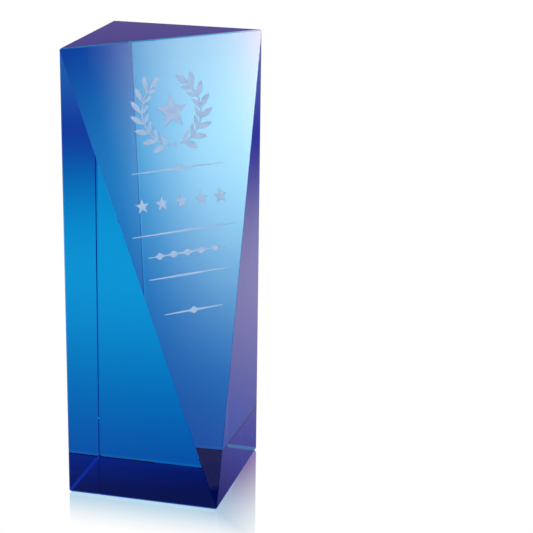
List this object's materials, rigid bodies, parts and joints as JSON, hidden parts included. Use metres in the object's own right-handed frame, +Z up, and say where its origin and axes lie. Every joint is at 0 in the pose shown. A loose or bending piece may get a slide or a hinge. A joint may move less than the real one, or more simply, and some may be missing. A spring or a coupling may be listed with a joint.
{
  "type": "crystal award",
  "caption": "Solid blue crystal tower award: a square column whose front corner is cut to an inclined triangular facet, with polished bevels and a sandblasted laurel and star design.",
  "frame": {"origin": "middle of the base, on the surface that the award stands on", "axes": "+Z up, -Y to the front, where the facet looks and the lower tip of the facet points; X is level across the facet"},
  "size_m": [0.122, 0.1223, 0.254],
  "materials": {
    "crystal": "polished optical crystal, tinted blue through its whole thickness",
    "etching": "sandblasted, frosted"
  },
  "bodies": {
    "root": {"crystal_tower": "crystal", "wreath_branch_left": "etching", "wreath_branch_right": "etching", "wreath_tie": "etching", "wreath_star": "etching", "upper_divider": "etching", "row_star_1": "etching", "row_star_2": "etching", "row_star_3": "etching", "row_star_4": "etching", "row_star_5": "etching", "upper_rule": "etching", "lozenge_row": "etching", "lower_rule": "etching", "lower_divider": "etching"}
  },
  "joints": []
}
